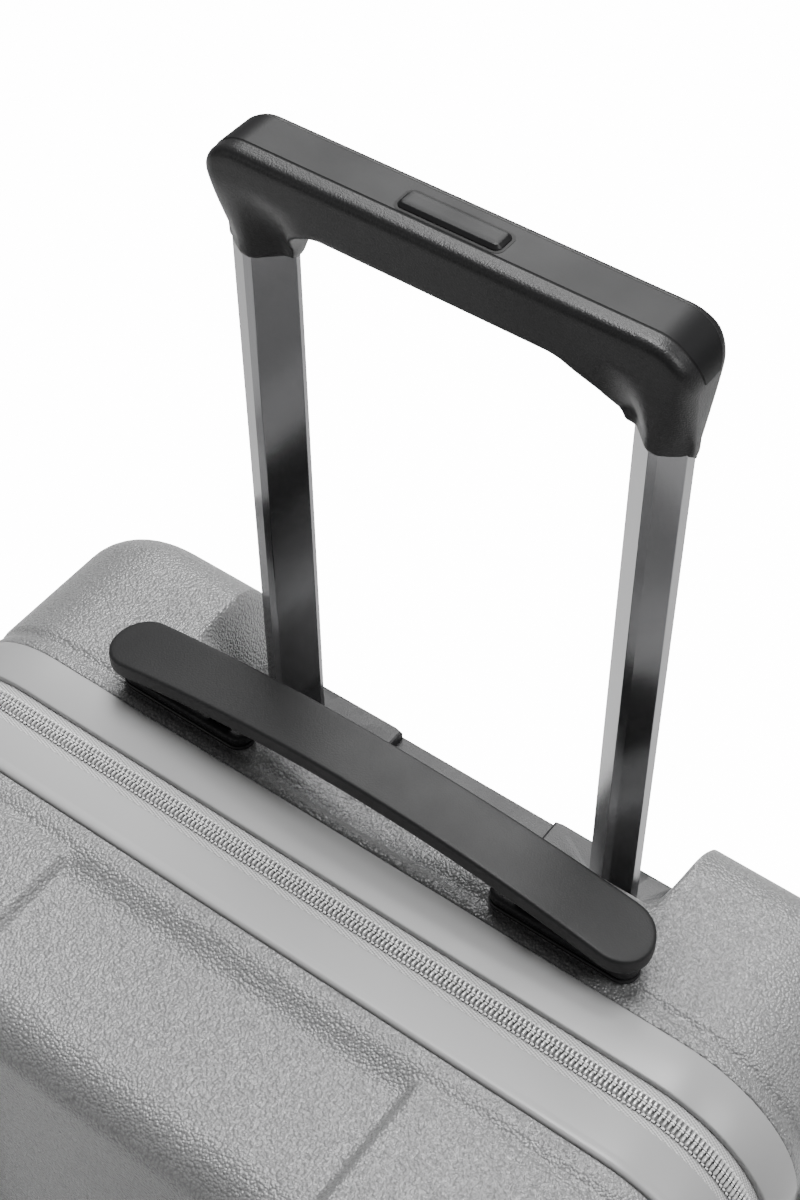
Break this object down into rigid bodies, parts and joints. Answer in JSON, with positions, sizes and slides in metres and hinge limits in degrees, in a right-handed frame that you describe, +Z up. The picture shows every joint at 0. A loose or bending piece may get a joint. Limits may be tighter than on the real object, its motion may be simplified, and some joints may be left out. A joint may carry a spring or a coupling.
{
  "type": "hard shell suitcase on wheels",
  "caption": "Cabin-size hard shell suitcase that opens on a zip, with twin-wheel swivel casters, a telescopic handle, carrying handles and a combination lock.",
  "frame": {"origin": "on the floor under the middle of the closed case, midway between its sides, front face and back face", "axes": "+X towards the side with the lock and the side handle, -Y towards the front shell, +Z up along the trolley tubes"},
  "size_m": [0.416, 0.234, 0.773],
  "materials": {
    "shell": "fine pebbled grain, satin silver",
    "rim": "smooth satin silver grey",
    "zip_tape": "herringbone woven tape",
    "zip_coil": "silver metallised coil",
    "zip_metal": "dark satin zinc",
    "tray_plastic": "fine matt black",
    "tube_metal": "dark bright anodised",
    "frame_tube": "satin anodised",
    "grip_plastic": "fine moulded grain, black",
    "satin_plastic": "smooth satin charcoal",
    "handle_plastic": "soft touch charcoal",
    "yoke_plastic": "natural acetal",
    "bright_steel": "bright",
    "dial_plastic": "black with ribs",
    "foot_rubber": "matt",
    "caster_plastic": "dark grey moulded",
    "wheel_rubber": "matt black with grey hubs",
    "lining_cloth": "quilted polyester",
    "strap_webbing": "ribbed webbing"
  },
  "bodies": {
    "rear_case": {"rear_shell": "shell", "rear_rim_band": "rim", "rear_zip_tape": "zip_tape", "rear_zip_coil": "zip_coil", "hinge_strip": "zip_tape", "trolley_tray": "tray_plastic", "tube_foot": "tray_plastic", "outer_tube_left": "frame_tube", "outer_tube_right": "frame_tube", "top_handle_mount_left": "tray_plastic", "top_handle_mount_right": "tray_plastic", "side_handle_mount_upper": "tray_plastic", "side_handle_mount_lower": "tray_plastic", "lock_housing": "zip_metal", "lock_spindle": "bright_steel", "rear_side_feet": "foot_rubber", "caster_housings_rear": "caster_plastic", "rear_lining": "lining_cloth", "packing_straps": "strap_webbing", "strap_buckle": "tray_plastic"},
    "front_case": {"front_shell": "shell", "front_rim_band": "rim", "front_zip_tape": "zip_tape", "front_zip_coil": "zip_coil", "front_side_feet": "foot_rubber", "caster_housings_front": "caster_plastic", "front_lining": "lining_cloth"},
    "middle_stage": {"middle_tube_left": "frame_tube", "middle_tube_right": "frame_tube", "middle_tube_collars": "tray_plastic"},
    "grip": {"inner_tube_left": "tube_metal", "inner_tube_right": "tube_metal", "tube_plugs": "tray_plastic", "grip_body": "grip_plastic", "grip_cap": "satin_plastic", "button_springs": "bright_steel"},
    "button": {"release_button": "satin_plastic", "release_yoke": "yoke_plastic"},
    "top_handle": {"top_handle": "handle_plastic"},
    "side_handle": {"side_handle": "handle_plastic"},
    "zip_slider_upper": {"zip_slider_upper": "zip_metal"},
    "zip_slider_lower": {"zip_slider_lower": "zip_metal"},
    "zip_pull_upper": {"zip_pull_upper": "zip_metal"},
    "zip_pull_lower": {"zip_pull_lower": "zip_metal"},
    "lock_dial_1": {"lock_dial_1": "dial_plastic"},
    "lock_dial_2": {"lock_dial_2": "dial_plastic"},
    "lock_dial_3": {"lock_dial_3": "dial_plastic"},
    "lock_release": {"lock_release": "satin_plastic"},
    "key_barrel": {"key_barrel": "bright_steel"},
    "fork_rear_left": {"caster_fork_rear_left": "caster_plastic"},
    "wheels_rear_left": {"caster_wheels_rear_left": "wheel_rubber"},
    "fork_rear_right": {"caster_fork_rear_right": "caster_plastic"},
    "wheels_rear_right": {"caster_wheels_rear_right": "wheel_rubber"},
    "fork_front_left": {"caster_fork_front_left": "caster_plastic"},
    "wheels_front_left": {"caster_wheels_front_left": "wheel_rubber"},
    "fork_front_right": {"caster_fork_front_right": "caster_plastic"},
    "wheels_front_right": {"caster_wheels_front_right": "wheel_rubber"}
  },
  "joints": [
    {"name": "lid_hinge", "type": "hinge", "parent": "rear_case", "child": "front_case", "pos_m": [-0.203, 0.001, 0.287], "axis": [0, 0, -1], "range_deg": [0, 165]},
    {"name": "stage_slide", "type": "slide", "parent": "rear_case", "child": "middle_stage", "axis": [0, 0, 1], "range_m": [0, 0.19]},
    {"name": "grip_slide", "type": "slide", "parent": "middle_stage", "child": "grip", "axis": [0, 0, 1], "range_m": [-0.253, 0]},
    {"name": "button_press", "type": "slide", "parent": "grip", "child": "button", "axis": [0, 0, -1], "range_m": [0, 0.003], "stiffness_N_per_m": 900, "springref_m": -0.002, "deforming": ["button_springs"]},
    {"name": "top_handle_lift", "type": "slide", "parent": "rear_case", "child": "top_handle", "axis": [0, 0, 1], "range_m": [0, 0.008], "stiffness_N_per_m": 400, "springref_m": -0.001},
    {"name": "side_handle_lift", "type": "slide", "parent": "rear_case", "child": "side_handle", "axis": [1, 0, 0], "range_m": [0, 0.008], "stiffness_N_per_m": 400, "springref_m": -0.001},
    {"name": "upper_slider_run", "type": "slide", "parent": "rear_case", "child": "zip_slider_upper", "axis": [0, 0, 1], "range_m": [0, 0.11]},
    {"name": "lower_slider_run", "type": "slide", "parent": "rear_case", "child": "zip_slider_lower", "axis": [0, 0, -1], "range_m": [0, 0.15]},
    {"name": "upper_pull_swing", "type": "hinge", "parent": "zip_slider_upper", "child": "zip_pull_upper", "pos_m": [0.2044, 0.001, 0.351], "axis": [0, -1, 0], "range_deg": [0, 165]},
    {"name": "lower_pull_swing", "type": "hinge", "parent": "zip_slider_lower", "child": "zip_pull_lower", "pos_m": [0.2044, 0.001, 0.301], "axis": [0, -1, 0], "range_deg": [0, 165]},
    {"name": "dial_1_turn", "type": "hinge", "parent": "rear_case", "child": "lock_dial_1", "pos_m": [0.20062, 0.051, 0.413], "axis": [0, 0, 1], "continuous": true},
    {"name": "dial_2_turn", "type": "hinge", "parent": "rear_case", "child": "lock_dial_2", "pos_m": [0.20062, 0.051, 0.421], "axis": [0, 0, 1], "continuous": true},
    {"name": "dial_3_turn", "type": "hinge", "parent": "rear_case", "child": "lock_dial_3", "pos_m": [0.20062, 0.051, 0.429], "axis": [0, 0, 1], "continuous": true},
    {"name": "lock_release_slide", "type": "slide", "parent": "rear_case", "child": "lock_release", "axis": [0, 0, 1], "range_m": [0, 0.003], "stiffness_N_per_m": 200, "springref_m": -0.001},
    {"name": "key_turn", "type": "hinge", "parent": "rear_case", "child": "key_barrel", "pos_m": [0.2, 0.051, 0.396], "axis": [1, 0, 0], "range_deg": [0, 90]},
    {"name": "swivel_rear_left", "type": "hinge", "parent": "rear_case", "child": "fork_rear_left", "pos_m": [-0.15, 0.071, 0.04], "axis": [0, 0, 1], "continuous": true},
    {"name": "roll_rear_left", "type": "hinge", "parent": "fork_rear_left", "child": "wheels_rear_left", "pos_m": [-0.15, 0.058, 0.021], "axis": [1, 0, 0], "continuous": true},
    {"name": "swivel_rear_right", "type": "hinge", "parent": "rear_case", "child": "fork_rear_right", "pos_m": [0.15, 0.071, 0.04], "axis": [0, 0, 1], "continuous": true},
    {"name": "roll_rear_right", "type": "hinge", "parent": "fork_rear_right", "child": "wheels_rear_right", "pos_m": [0.15, 0.058, 0.021], "axis": [1, 0, 0], "continuous": true},
    {"name": "swivel_front_left", "type": "hinge", "parent": "front_case", "child": "fork_front_left", "pos_m": [-0.15, -0.069, 0.04], "axis": [0, 0, 1], "continuous": true},
    {"name": "roll_front_left", "type": "hinge", "parent": "fork_front_left", "child": "wheels_front_left", "pos_m": [-0.15, -0.082, 0.021], "axis": [1, 0, 0], "continuous": true},
    {"name": "swivel_front_right", "type": "hinge", "parent": "front_case", "child": "fork_front_right", "pos_m": [0.15, -0.069, 0.04], "axis": [0, 0, 1], "continuous": true},
    {"name": "roll_front_right", "type": "hinge", "parent": "fork_front_right", "child": "wheels_front_right", "pos_m": [0.15, -0.082, 0.021], "axis": [1, 0, 0], "continuous": true}
  ]
}
